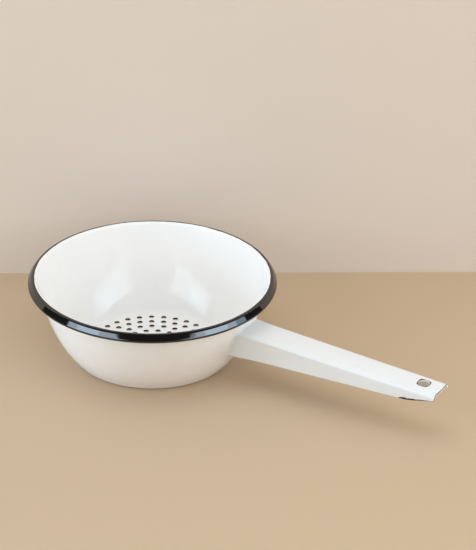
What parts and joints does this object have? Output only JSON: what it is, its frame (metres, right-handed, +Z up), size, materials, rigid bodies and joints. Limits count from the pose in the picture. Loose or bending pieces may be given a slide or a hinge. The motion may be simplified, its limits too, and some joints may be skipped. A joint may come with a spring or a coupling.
{
  "type": "enamel colander",
  "caption": "White enamelled steel colander with a perforated flat floor, a black rolled rim and one long channel handle with a hanging hole.",
  "frame": {"origin": "centre of the perforated floor's underside, on the bowl's axis and on the surface that the colander stands on", "axes": "+Z up along the bowl's axis, +X along the handle from the bowl towards the tip, +Y to the handle's left seen from above"},
  "size_m": [0.3845, 0.213, 0.073],
  "materials": {
    "white_enamel": "glossy white vitreous enamel over steel, faintly warm and slightly uneven",
    "black_enamel": "glossy black vitreous enamel along the rolled rim",
    "handle_enamel": "glossy white vitreous enamel, faintly cool, thin along the cut edges where the dark ground coat shows"
  },
  "bodies": {
    "root": {"bowl": "white_enamel", "rolled_rim": "black_enamel", "handle": "handle_enamel", "root_weld": "handle_enamel"}
  },
  "joints": []
}
